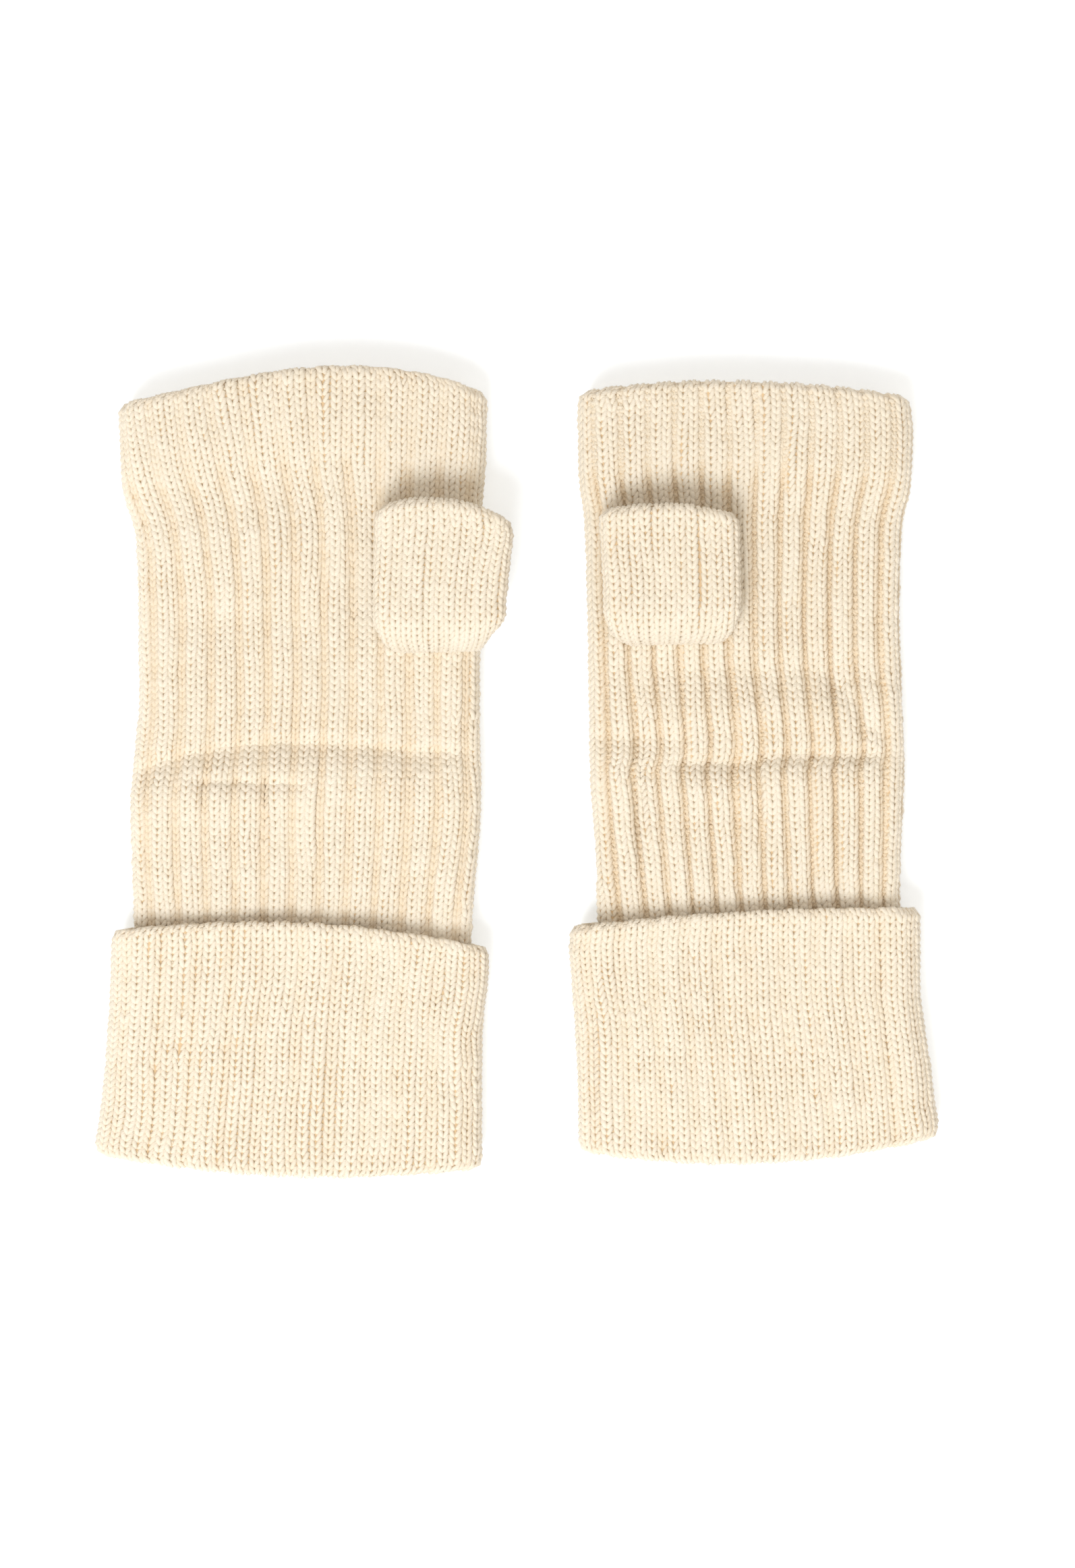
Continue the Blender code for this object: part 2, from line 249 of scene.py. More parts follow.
class Surface:
    """One layer of fabric as a grid: rows follow the courses, and columns run round the tube."""

    DRIFT_ROWS = 30
    DRIFT_COLUMNS = 20
    DRIFT = 0.14  # typical sideways wander of a wale, in wale widths

    def __init__(self, points, rib_scale=((0.0, 1.0),)):
        self.points = points
        self.rib_scale = rib_scale
        steps = np.linalg.norm(np.diff(points, axis=0), axis=-1)
        top = slice(COLUMNS // 8, COLUMNS * 3 // 8)
        self.length = np.concatenate([[0], np.cumsum(steps[:, top].mean(1))])
        across = np.roll(points, -1, 1) - np.roll(points, 1, 1)
        along = np.gradient(points, axis=0)
        normal = np.cross(across, along)
        self.normals = normal / (np.linalg.norm(normal, axis=-1, keepdims=True) + 1e-9)
        self.wander = rng.standard_normal((len(points) // self.DRIFT_ROWS + 3, self.DRIFT_COLUMNS))

    def drift(self, lengths, wales):
        """How far each wale has wandered sideways at each course, in wale widths."""
        row = np.interp(lengths, self.length, np.arange(len(self.length))) / self.DRIFT_ROWS
        i = row.astype(int)
        f = (row - i)[:, None]
        f = f * f * (3 - 2 * f)
        column = np.arange(wales) / wales * self.wander.shape[1]
        j = column.astype(int)
        g = column - j
        table = self.wander * self.DRIFT
        k = (j + 1) % table.shape[1]
        low = table[i][:, j] * (1 - g) + table[i][:, k] * g
        high = table[i + 1][:, j] * (1 - g) + table[i + 1][:, k] * g
        return low * (1 - f) + high * f

    def turns_at(self, places):
        """The turns of the upper face's points at these x values, halfway along the fabric."""
        upper = self.points[len(self.points) // 2, : COLUMNS // 2, 0]
        return [np.abs(upper - x).argmin() / COLUMNS for x in places]

    def ribs(self, length):
        """How deep the ribs are at a length along the fabric, as a share of their full depth."""
        places, shares = zip(*self.rib_scale)
        return np.interp(length, places, shares)

    def at(self, length, turn):
        """Points and normals at a length along the fabric and a turn, 0 to 1, round the tube."""
        rows = len(self.length)
        row = np.interp(length, self.length, np.arange(rows))
        row = np.minimum(row, rows - 1.001)
        column = (turn % 1.0) * COLUMNS
        i, j = row.astype(int), column.astype(int) % COLUMNS
        f, g = (row - i)[..., None], (column - np.floor(column))[..., None]
        k = (j + 1) % COLUMNS
        result = []
        for grid in (self.points, self.normals):
            low = grid[i, j] * (1 - g) + grid[i, k] * g
            high = grid[i + 1, j] * (1 - g) + grid[i + 1, k] * g
            result.append(low * (1 - f) + high * f)
        return result


class Wales:
    """The columns of stitches round a tube: each one's width and its side (+1 knit, -1 purl).

    profile gives points across one rib, counted in wales, and how deep the fabric lies there.
    """

    WIDTH_VARIES = 0.03
    OPENING_VARIES = 0.008

    def __init__(self, ribs, widths, sides, profile, uneven=0.06):
        self.per_rib = len(widths)
        self.count = ribs * self.per_rib
        widths = np.tile(widths, ribs) * (1 + self.WIDTH_VARIES * rng.standard_normal(self.count))
        self.edges = np.concatenate([[0], np.cumsum(widths)])
        self.edges /= self.edges[-1]
        self.sides = np.tile(sides, ribs)
        self.profile = np.array(profile).T
        self.offsets = uneven * rng.standard_normal(self.count)
        self.opening = self.OPENING_VARIES * rng.standard_normal(self.count)

    def open_up(self, turns, amounts):
        """Opens the wales at these turns round the tube, so that a dark line shows down the middle."""
        found = np.searchsorted(self.edges, turns) - 1
        self.opening[found] += amounts

    def depth(self, x):
        """How deep the fabric lies at a position counted in wales."""
        places, depths = self.profile
        return np.interp(x % self.per_rib, places, depths) + self.between(x, self.offsets, 1.5)

    def turn(self, x):
        """Where a position counted in wales lies round the tube."""
        whole = np.floor(x / self.count)
        return whole + np.interp(x - whole * self.count, np.arange(self.count + 1), self.edges)

    def between(self, x, values, sharpness):
        """A value for each wale, eased over the borders between them."""
        centre = np.floor(x - 0.5).astype(int)
        part = x - 0.5 - centre
        ease = np.clip((part - 0.5) * sharpness + 0.5, 0, 1)
        ease = ease * ease * (3 - 2 * ease)
        return values[centre % self.count] * (1 - ease) + values[(centre + 1) % self.count] * ease


class Stitch:
    """The shape of one loop, in wale widths across and in millimetres along and out.

    bulge leans the two legs apart into a V, slant leans the whole loop, spread opens a gap down
    its middle, and depth is how far the legs stand out from the head and the foot.
    """

    HEIGHT_VARIES = 0.06
    SPREAD_VARIES = 0.012
    PLACE_VARIES = 0.02
    DEPTH_VARIES = 0.07
    YARN_VARIES = 0.05
    WALE_SWAYS = 0.04
    COURSE_SWAYS = 0.10

    def __init__(self, bulge=0.235, slant=0.05, spread=0.014, height=1.72, depth=0.55):
        self.bulge = bulge
        self.slant = slant
        self.spread = spread
        self.height = height
        self.depth = depth


def mesh_object(name, vertices, quads, material, uv=None, painted_shade=None):
    mesh = bpy.data.meshes.new(name)
    mesh.vertices.add(len(vertices))
    mesh.vertices.foreach_set("co", (vertices * MM).astype(np.float32).ravel())
    mesh.loops.add(quads.size)
    mesh.loops.foreach_set("vertex_index", quads.astype(np.int32).ravel())
    mesh.polygons.add(len(quads))
    mesh.polygons.foreach_set("loop_start", np.arange(0, quads.size, 4, dtype=np.int32))
    mesh.polygons.foreach_set("loop_total", np.full(len(quads), 4, np.int32))
    mesh.polygons.foreach_set("use_smooth", np.ones(len(quads), bool))
    if uv is not None:
        layer = mesh.uv_layers.new(name="yarn")
        layer.data.foreach_set("uv", uv.astype(np.float32).ravel())
    # the share of painted shade at each point of the yarn, more where the yarn lies deeper
    if painted_shade is not None:
        shade = mesh.attributes.new("painted_shade", "FLOAT", "POINT")
        shade.data.foreach_set("value", painted_shade.astype(np.float32).ravel())
    mesh.update()
    mesh.materials.append(material)
    obj = bpy.data.objects.new(name, mesh)
    bpy.context.scene.collection.objects.link(obj)
    return obj


class Hole:
    """The hole in the palm under a thumb: an upright elliptical opening through the upper layer."""

    def __init__(self, centre, width, length, floor):
        self.centre = centre
        self.size = (width / 2, length / 2)
        self.floor = floor

    def cut(self, vertices, quads, *corner_data):
        x = (vertices[:, 0] - self.centre[0]) / self.size[0]
        y = (vertices[:, 1] - self.centre[1]) / self.size[1]
        inside = (x**4 + y**4 < 1) & (vertices[:, 2] > self.floor)
        keep = ~inside[quads].any(1)
        corners = np.repeat(keep, 4)
        return [quads[keep]] + [data[corners] for data in corner_data]


def noise_table(rows, columns, size):
    """Smooth random numbers, about -1 to 1, over a grid that closes on itself round the tube."""
    coarse = rng.standard_normal((rows // size + 3, max(1, columns // size)))
    y = np.arange(rows)[:, None] / size
    x = np.arange(columns)[None] / size
    i, j = y.astype(int), x.astype(int)
    f, g = y - i, x - j
    f, g = f * f * (3 - 2 * f), g * g * (3 - 2 * g)
    wide = coarse.shape[1]
    low = coarse[i, j % wide] * (1 - g) + coarse[i, (j + 1) % wide] * g
    high = coarse[i + 1, j % wide] * (1 - g) + coarse[i + 1, (j + 1) % wide] * g
    return low * (1 - f) + high * f


def strands(path, up, radius, flatness):
    """Sweeps closed strands: path and up are (courses, points, 3). Returns vertices, quads and uv."""
    tangent = np.roll(path, -1, 1) - np.roll(path, 1, 1)
    tangent /= np.linalg.norm(tangent, axis=-1, keepdims=True)
    side = np.cross(tangent, up)
    side /= np.linalg.norm(side, axis=-1, keepdims=True)
    out = np.cross(side, tangent)
    angle = np.arange(YARN_SIDES) * 2 * math.pi / YARN_SIDES
    ring = np.cos(angle)[:, None] * side[:, :, None] + flatness * np.sin(angle)[:, None] * out[:, :, None]
    vertices = path[:, :, None] + radius[..., None, None] * ring
    rise = radius[..., None] * flatness * np.sin(angle)
    courses, points = path.shape[:2]
    index = np.arange(courses * points * YARN_SIDES).reshape(courses, points, YARN_SIDES)
    ahead = np.roll(index, -1, 1)
    quads = np.stack([index, np.roll(index, -1, 2), np.roll(ahead, -1, 2), ahead], -1)
    steps = np.linalg.norm(np.roll(path, -1, 1) - path, axis=-1)
    run = np.concatenate([np.zeros((courses, 1)), np.cumsum(steps, 1)], 1)
    u0 = np.broadcast_to(run[:, :-1, None], index.shape)
    u1 = np.broadcast_to(run[:, 1:, None], index.shape)
    v0 = np.broadcast_to(np.arange(YARN_SIDES) / YARN_SIDES, index.shape)
    v1 = v0 + 1 / YARN_SIDES
    uv = np.stack([u0, v0, u0, v1, u1, v1, u1, v0], -1)
    return vertices.reshape(-1, 3), quads.reshape(-1, 4), uv.reshape(-1, 2), rise


def knit(name, surface, wales, first, count, stitch, material, hole=None):
    """Knits count courses round the surface, the first one at a length along the fabric.

    t runs from -pi to pi along each loop: the legs are at -pi/2 and pi/2, and the head is at 0.
    """
    points = wales.count * LOOP_STEPS
    step = np.arange(points)
    wale = step // LOOP_STEPS
    t = (step % LOOP_STEPS + 0.5) / LOOP_STEPS * 2 * math.pi - math.pi
    size = noise_table(count, wales.count, 1)[:, wale]
    wander = noise_table(count, wales.count, 4)[:, wale]
    drift = surface.drift(first + COURSE * np.arange(count), wales.count)[:, wale]
    spread_noise, place_noise, depth_noise = (np.roll(size, k * LOOP_STEPS, 1) for k in (2, 3, 5))
    height = stitch.height * (1 + stitch.HEIGHT_VARIES * size)
    spread = stitch.spread + wales.opening[wale] + stitch.SPREAD_VARIES * spread_noise
    x = wale + 0.5 + t / (2 * math.pi) + stitch.bulge * np.sin(2 * t) + spread * np.sin(t)
    x = x + stitch.slant * np.cos(t) + stitch.PLACE_VARIES * place_noise + stitch.WALE_SWAYS * wander + drift
    lengths = first + COURSE * np.arange(count)[:, None] + height * np.cos(t) + stitch.COURSE_SWAYS * wander
    side = wales.between(x, wales.sides, 3.0)
    depth = wales.depth(x) * surface.ribs(lengths)
    out = -stitch.depth * np.cos(2 * t) * side - depth + stitch.DEPTH_VARIES * depth_noise
    point, normal = surface.at(lengths, wales.turn(x))
    path = point + normal * out[..., None]
    thick = YARN_RADIUS * (1 + stitch.YARN_VARIES * (wander + size)) * (1 + 0.06 * np.cos(2 * t))
    vertices, quads, uv, rise = strands(path, normal, thick, YARN_FLATNESS)
    # painted shade: yarn that lies deeper is darkened towards the deep colour, standing in for the shade
    # between the stitches
    painted_shade = np.clip((PAINTED_SHADE_TOP - (out[..., None] + rise)) / PAINTED_SHADE_RANGE, 0, 1).ravel()
    if hole:
        quads, uv = hole.cut(vertices, quads, uv)
    return mesh_object(name, vertices, quads, material, uv, painted_shade)


def core(name, surface, wales, first, last, material, around=260, hole=None):
    """The body of the fabric between the faces of the loops: a thin closed shell."""
    rows = max(3, int(round((last - first) / CORE_STEP)))
    turn = np.broadcast_to(np.arange(around) / around, (rows, around))
    length = np.broadcast_to(np.linspace(first, last, rows)[:, None], (rows, around))
    x = np.interp(turn, wales.edges, np.arange(wales.count + 1))
    depth = wales.depth(x) * surface.ribs(length)
    point, normal = surface.at(length, turn)
    outer = point + normal * (CORE_THICKNESS / 2 - depth)[..., None]
    inner = point - normal * (CORE_THICKNESS / 2 + depth)[..., None]
    loop = np.concatenate([outer, inner[::-1]])
    total = len(loop)
    index = np.arange(total * around).reshape(total, around)
    ahead = np.roll(index, -1, 0)
    quads = np.stack([index, np.roll(index, -1, 1), np.roll(ahead, -1, 1), ahead], -1).reshape(-1, 4)
    vertices = loop.reshape(-1, 3)
    if hole:
        quads = hole.cut(vertices, quads)[0]
    return mesh_object(name, vertices, quads, material)


# ---------------------------------------------------------------- materials


class Nodes:
    """A small helper that makes and links shader nodes."""

    def __init__(self, name):
        self.material = bpy.data.materials.new(name)
        self.material.use_nodes = True
        self.tree = self.material.node_tree
        self.shader = self.tree.nodes["Principled BSDF"]

    def add(self, kind, **values):
        node = self.tree.nodes.new(kind)
        for key, value in values.items():
            if hasattr(node, key):
                setattr(node, key, value)
            else:
                node.inputs[key.replace("_", " ")].default_value = value
        return node

    def link(self, output, socket):
        self.tree.links.new(output, socket)

    def mixed(self, factor, a, b):
        """The colour of the output a mixed with the fixed colour b by the output factor."""
        node = self.add("ShaderNodeMix", data_type="RGBA")
        sockets = [socket for socket in node.inputs if socket.enabled]
        self.link(factor, sockets[0])
        self.link(a, sockets[1])
        sockets[2].default_value = (*b, 1)
        return next(socket for socket in node.outputs if socket.enabled)


def wool(name, light, dark, deep=None):
    """Matt wool: a mottled colour and a soft sheen.

    Wool with a deep colour is yarn: painted shade darkens it towards that colour where it lies deep
    between the stitches, and fine strands wind round it.
    """
    n = Nodes(name)
    place = n.add("ShaderNodeTexCoord")
    mottle = n.add("ShaderNodeTexNoise", Scale=170.0, Detail=3.0, Roughness=0.6)
    n.link(place.outputs["Object"], mottle.inputs["Vector"])
    ramp = n.add("ShaderNodeValToRGB")
    ramp.color_ramp.elements[0].position = 0.3
    ramp.color_ramp.elements[0].color = (*dark, 1)
    ramp.color_ramp.elements[1].position = 0.7
    ramp.color_ramp.elements[1].color = (*light, 1)
    n.link(mottle.outputs["Fac"], ramp.inputs["Fac"])
    colour = ramp.outputs["Color"]
    # painted shade: yarn that lies deep is mixed towards the deep colour
    if deep:
        painted_shade = n.add("ShaderNodeAttribute", attribute_name="painted_shade")
        colour = n.mixed(painted_shade.outputs["Fac"], colour, deep)
    n.link(colour, n.shader.inputs["Base Color"])
    n.shader.inputs["Roughness"].default_value = 0.92
    n.shader.inputs["Specular IOR Level"].default_value = 0.15
    n.shader.inputs["Sheen Weight"].default_value = 0.25
    n.shader.inputs["Sheen Roughness"].default_value = 0.6
    if deep:
        uv = n.add("ShaderNodeUVMap", uv_map="yarn")
        turn = n.add("ShaderNodeMapping")
        turn.inputs["Scale"].default_value = (3.6, 7.854, 1.0)
        n.link(uv.outputs["UV"], turn.inputs["Vector"])
        ply = n.add("ShaderNodeTexWave", Scale=0.32, Distortion=1.2, Detail=2.0)
        ply.bands_direction = "DIAGONAL"
        n.link(turn.outputs["Vector"], ply.inputs["Vector"])
        fibres = n.add("ShaderNodeTexNoise", Scale=2600.0, Detail=2.0)
        n.link(place.outputs["Object"], fibres.inputs["Vector"])
        height = n.add("ShaderNodeMath", operation="MULTIPLY_ADD")
        height.inputs[1].default_value = 0.25
        n.link(fibres.outputs["Fac"], height.inputs[0])
        n.link(ply.outputs["Fac"], height.inputs[2])
        bump = n.add("ShaderNodeBump", Strength=0.4, Distance=0.0001)
        n.link(height.outputs["Value"], bump.inputs["Height"])
        n.link(bump.outputs["Normal"], n.shader.inputs["Normal"])
    return n.material


# the third colour is painted shade, for yarn that lies deep between the stitches
CREAM = wool("cream_wool", (0.80, 0.732, 0.622), (0.76, 0.69, 0.57), (0.69, 0.525, 0.325))
# painted shade: the core's darker brown stands in for the shade seen through the gaps between the loops
PAINTED_SHADE_CORE = wool("painted_shade_inner_wool", (0.66, 0.49, 0.30), (0.62, 0.45, 0.27))

# ---------------------------------------------------------------- the gloves


def gauss(q):
    return np.exp(-q * q)


def window(x, low, high, soft):
    """1 between low and high, falling to 0 over a soft border."""
    rise = np.clip((x - low) / soft + 0.5, 0, 1)
    fall = np.clip((high - x) / soft + 0.5, 0, 1)
    return (rise * rise * (3 - 2 * rise)) * (fall * fall * (3 - 2 * fall))


def fold(distance, sharp, soft, deep, swell):
    """A crease seen across it: steep on its finger side, and a soft roll on its wrist side."""
    valley = np.where(distance > 0, gauss(distance / sharp), gauss(distance / soft))
    return swell * gauss((distance + 2.6 * soft) / (1.6 * soft)) - deep * valley


def left_relief(x, y):
    """The creases on the left glove's upper face."""
    # The long crease, which bows down to both sides, and the short one below its left half
    along = (x + 60.0) / 42.0
    line = 8.3 - 7.5 * np.clip(-along, 0, 2) ** 2.2 - 2.6 * np.clip(along * 1.3, 0, 1) ** 1.5
    result = fold(y - line, 1.3, 4.6, 2.6, 1.1) * window(x, -104, -16, 16)
    result += fold(y + 2.6 + 0.02 * (x + 80), 0.9, 2.0, 1.3, 0.6) * window(x, -88, -58, 10)
    # The two short dents at the short crease's ends
    for place in (-85.0, -67.5):
        result -= 1.3 * gauss((x - place) / 1.5) * window(y, -9.5, -2.0, 5)
    # The soft groove up the right side, and the one beside the thumb
    result -= 0.7 * gauss((x + 26.0) / 2.5) * window(y, -18, 22, 16)
    result -= 1.0 * gauss((x + 42.0) / 2.4) * window(y, 34, 76, 20)
    # The shallow dip across the palm, and the swell above it
    result -= 0.9 * gauss((y - 40.0) / 6.0) * window(x, -98, -60, 40)
    result += 0.6 * gauss((y - 62.0) / 7.0) * window(x, -100, -45, 24)
    return result


def right_relief(x, y):
    """The creases on the right glove's upper face."""
    # The sharp crease, and the softer one to its left
    line = 2.6 + 2.2 * window(x, 66, 110, 16)
    result = fold(y - line, 1.4, 3.0, 1.9, 1.1) * window(x, 43, 98, 14)
    result += fold(y - 9.0, 2.0, 4.0, 1.2, 0.6) * window(x, 18, 44, 10)
    # The dip below the thumb, and the swell below the dip
    result -= 1.3 * gauss((y - 27.0) / 5.0) * window(x, 30, 104, 34)
    result += 0.9 * gauss((y - 16.0) / 5.0) * window(x, 30, 92, 34)
    # The groove down the left side, and the slanting hollow at the right side
    result -= 2.0 * gauss((x - 33.5) / 1.7) * window(y, -22, 22, 20)
    slant = x - 94.0 + 0.85 * (y - 14.0)
    result -= 1.0 * gauss(slant / 4.0) * window(y, 6, 26, 10)
    return result


# Where a cuff's stitches are pulled apart into a dark line, and by how many wale widths
LEFT_LINES = ((-101.0, 0.035), (-97.7, 0.05), (-91.4, 0.05), (-88.0, 0.045), (-81.0, 0.03), (-77.6, 0.02))
RIGHT_LINES = ((28.5, 0.02), (48.0, 0.015), (58.0, 0.015), (83.5, 0.02), (91.0, 0.015), (98.0, 0.02))


def left_cuff_relief(x, y):
    """The deeper grooves on the left cuff."""
    result = np.zeros(np.broadcast(x, y).shape)
    for place, deep in ((-101.0, 0.4), (-91.4, 0.5), (-81.0, 0.3), (-26.0, 0.5), (-18.0, 0.5)):
        drifted = place + 1.2 * np.sin((y + 70.0) / 26.0)
        result -= 0.8 * deep * gauss((x - drifted) / 1.3) * window(y, -112, -50, 16)
    return result


def right_cuff_relief(x, y):
    """The deeper grooves on the right cuff."""
    result = -1.3 * gauss((x - 20.8 - 0.03 * (y + 80)) / 1.3) * window(y, -108, -52, 12)
    for place in (48.0, 55.0, 76.0, 83.5, 91.0, 98.0):
        result -= 0.35 * gauss((x - place + 0.05 * (y + 40)) / 1.0) * window(y, -104, -46, 14)
    return result


def unevenness(x, y, seed):
    """The slow rise and fall of cloth that lies loosely."""
    return (
        0.30 * np.sin(x / 9.1 + seed) * np.sin(y / 12.7 + 2.1 * seed)
        + 0.22 * np.sin(x / 5.3 - y / 8.9 + 1.7 * seed)
        + 0.16 * np.sin(x / 3.7 + y / 4.9 + 0.6 * seed)
    )


def swung(points, y, shift):
    """Moves the columns of a grid of rings sideways: shift(turn, y) is in millimetres along the ring."""
    turn = np.arange(COLUMNS)[None] / COLUMNS
    around = np.linalg.norm(np.diff(points, axis=1), axis=-1).sum(1)[:, None]
    column = (turn + shift(turn, y[:, None]) / around) % 1.0 * COLUMNS
    i = column.astype(int)
    part = (column - i)[..., None]
    row = np.arange(len(points))[:, None]
    return points[row, i % COLUMNS] * (1 - part) + points[row, (i + 1) % COLUMNS] * part


def left_shift(turn, y):
    """The left glove's wales fan out to the left above the thumb."""
    near = np.clip(1 - np.abs((turn - 0.13 + 0.5) % 1.0 - 0.5) / 0.27, 0, 1)
    return -6.5 * np.clip((y - 47.0) / 63.0, 0, 1) ** 1.2 * near * near * (3 - 2 * near)


def right_shift(turn, y):
    """The right glove's wales lean between the creases, and jump back at the lower one."""
    upper = window(turn, 0.03, 0.47, 0.08)
    return upper * np.interp(y, (-44.0, -38.0, 1.0, 5.0, 9.0, 29.0), (2.2, 2.2, 0.2, 1.3, 1.4, 0.0))


def raise_upper(points, middle, amount):
    """Moves the upper face of rings of points by an amount in height, easing to nothing at the sides."""
    upper = np.clip((points[..., 2] - middle[:, None]) / 5.0, 0, 1)
    points[..., 2] += amount * upper * upper * (3 - 2 * upper)


def lifted(y, edge, height, reach):
    """How much the cloth near an open edge stands up: height at the edge, and nothing at reach from it."""
    return height * np.clip((y - edge + reach) / reach, 0, 1)[:, None] ** 2


def hand_surface(hand, relief, shift, cuff_top, seed):
    """The hand tube from the wrist fold to the finger fold, and the hem's layer back inside."""
    edge = hand.last - FABRIC / 2 - FOLD_RADIUS
    out = np.arange(hand.first + 0.2, edge, ROW_STEP)
    turn = np.linspace(0, math.pi, FOLD_POINTS)
    back = np.arange(edge - ROW_STEP, edge - HEM_DEPTH, -ROW_STEP)
    y = np.concatenate([out, edge + FOLD_RADIUS * np.sin(turn), back])
    inset = np.concatenate(
        [
            np.full(len(out), FABRIC / 2),
            FABRIC / 2 + FOLD_RADIUS * (1 - np.cos(turn)),
            np.full(len(back), FABRIC / 2 + 2 * FOLD_RADIUS),
        ]
    )
    points = swung(hand.rings(y, inset), y, shift)
    _, _, bottom, top = hand.section_at(y)
    x, along = points[..., 0], points[..., 1]
    amount = relief(x, along) + unevenness(x, along, seed) * 0.8
    # The sleeve dips just above the cuff's edge
    amount -= 1.0 * gauss((along - cuff_top - 3.0) / 6.0)
    raise_upper(points, (top + bottom) / 2, amount)
    # The ribs flatten out over the doubled band
    hem = np.interp(edge - BAND_HEIGHT, y[: len(out)], np.arange(len(out)))
    surface = Surface(points)
    rows = np.arange(len(surface.length))
    hem_start, hem_full = (np.interp(hem + r, rows, surface.length) for r in (0, 10))
    surface.rib_scale = ((0.0, 1.0), (hem_start, 1.0), (hem_full, 0.45), (surface.length[-1], 0.25))
    return surface, len(out)


def cuff_surface(cuff, relief, seed):
    """The turned-up cuff: a short lip inside the wrist, the fold, the outer wall and the rolled edge."""
    low = cuff.first + FABRIC / 2 + FOLD_RADIUS
    high = cuff.last - FABRIC / 2 - CURL
    lip = np.arange(low + LIP_DEPTH, low, -ROW_STEP)
    turn = np.linspace(0, math.pi, FOLD_POINTS)
    out = np.arange(low + ROW_STEP, high, ROW_STEP)
    roll = np.linspace(0, ROLL_TURN, ROLL_POINTS)
    y = np.concatenate([lip, low - FOLD_RADIUS * np.sin(turn), out, high + CURL * np.sin(roll)])
    inset = np.concatenate(
        [
            np.full(len(lip), FABRIC / 2 + 2 * FOLD_RADIUS),
            FABRIC / 2 + FOLD_RADIUS * (1 + np.cos(turn)),
            np.full(len(out), FABRIC / 2),
            FABRIC / 2 + CURL * (1 - np.cos(roll)),
        ]
    )
    points = cuff.rings(y, inset)
    _, _, bottom, top = cuff.section_at(y)
    x, along = points[..., 0], points[..., 1]
    amount = relief(x, along) + unevenness(x, along, seed) * 0.6
    amount += lifted(y, high, 1.4, 11.0)
    raise_upper(points, (top + bottom) / 2, amount)
    return Surface(points)


def thumb_surface(thumb, hand, hinge, seed):
    """The thumb: its base turns up from the palm about the hinge, then the tube and the rolled tip."""
    low = thumb.bottom.min()
    high = thumb.last - FABRIC / 2 - CURL
    out = np.arange(thumb.first + CLEARANCE, high, ROW_STEP)
    roll = np.linspace(0, ROLL_TURN, ROLL_POINTS)
    y = np.concatenate([out, high + CURL * np.sin(roll)])
    inset = np.concatenate([np.full(len(out), FABRIC / 2), FABRIC / 2 + CURL * (1 - np.cos(roll))])
    tube = thumb.rings(y, inset)
    _, _, bottom, top = thumb.section_at(y)
    amount = unevenness(tube[..., 0], tube[..., 1], seed) * 0.7
    amount += lifted(y, high, 1.2, 8.0)
    raise_upper(tube, (top + bottom) / 2, amount)
    ring = tube[0]
    centre = thumb.centre[0]
    height = np.maximum(ring[:, 2] - low, 0)
    base = []
    for angle in np.linspace(math.pi / 2, 0, BASE_ROWS)[:-1]:
        taper = 1 - BASE_TAPER / thumb.half[0] * (1 - math.cos(angle))
        row = ring.copy()
        row[:, 0] = centre + (ring[:, 0] - centre) * taper
        row[:, 1] = hinge - CLEARANCE - height * math.sin(angle)
        row[:, 2] = low + height * math.cos(angle)
        rest_x, rest_z = hand.wrap(row[:, 0], row[:, 1])
        settle = math.sin(angle) ** 2
        row[:, 0] += (rest_x - row[:, 0]) * settle
        row[:, 2] += np.minimum(rest_z - low, 0) * settle
        base.append(row)
    root = base[0].copy()
    root[:, 2] -= ROOT_DEPTH
    return Surface(np.concatenate([[root], np.array(base), tube]))


def courses_between(first, last):
    """How many courses fit from first to last."""
    return int((last - first) / COURSE) + 1


def place(piece, body, slot):
    """Puts a piece on its body. The slot is not used."""
    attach(piece, body)


def banded(side, label, surface, wales, first, last, stitch, body, slot="rib_knit", hole=None):
    """Knits from first to last in several pieces, so that no piece is too heavy."""
    total = courses_between(first, last)
    pieces = []
    start = 0
    while start < total:
        count = min(BAND, total - start)
        name = f"{side}_{label}_{len(pieces) + 1}"
        piece = knit(name, surface, wales, first + start * COURSE, count, stitch, CREAM, hole)
        place(piece, body, slot)
        pieces.append(piece)
        start += count
    return pieces


def hand_and_hem(side, surface, fold_row, wales, hole):
    """The hand tube, and the hem turned inside it. Returns the hand tube's core."""
    body = side + "_glove"
    turned, end = surface.length[fold_row], surface.length[-1]
    first, last = 2.0, turned - COURSE
    sleeve = banded(side, "sleeve_knit", surface, wales, first, last, STITCH, body, hole=hole)
    start = first + COURSE * courses_between(first, last)
    hem = banded(side, "hem_knit", surface, wales, start, end - 2.0, STITCH, body)

    core_start, core_end = 0.5, end - 0.5
    shell = core(side + "_sleeve_core", surface, wales, core_start, turned, PAINTED_SHADE_CORE, hole=hole)
    place(shell, body, "rib_knit")
    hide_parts(side + "_hand_sleeve")
    sewn = knit(side + "_hem_stitching_yarn", surface, wales, end - 1.0, 1, SEWING, CREAM)
    place(sewn, body, "stitching")
    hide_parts(side + "_hem_stitching")
    inner = core(side + "_hem_core", surface, wales, turned, core_end, PAINTED_SHADE_CORE)
    place(inner, body, "rib_knit")
    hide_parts(side + "_finger_hem")
    return shell


def turned_cuff(side, surface, wales):
    """The turned-up cuff and its cast-off edge."""
    body = side + "_cuff"
    end = surface.length[-1]
    first, last = 1.0, end - 0.8
    edge = first + (courses_between(first, last) - 2) * COURSE
    wall = banded(side, "cuff_knit", surface, wales, first, edge - 0.5 * COURSE, STITCH, body)
    rim = banded(side, "cuff_edge_knit", surface, wales, edge, last, STITCH, body, "edge_knit")
    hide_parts(side + "_cuff_edge")

    core_start, core_end = 0.3, end - 0.2
    inner = core(side + "_cuff_core", surface, wales, core_start, core_end, PAINTED_SHADE_CORE)
    place(inner, body, "rib_knit")
    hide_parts(side + "_turned_cuff")


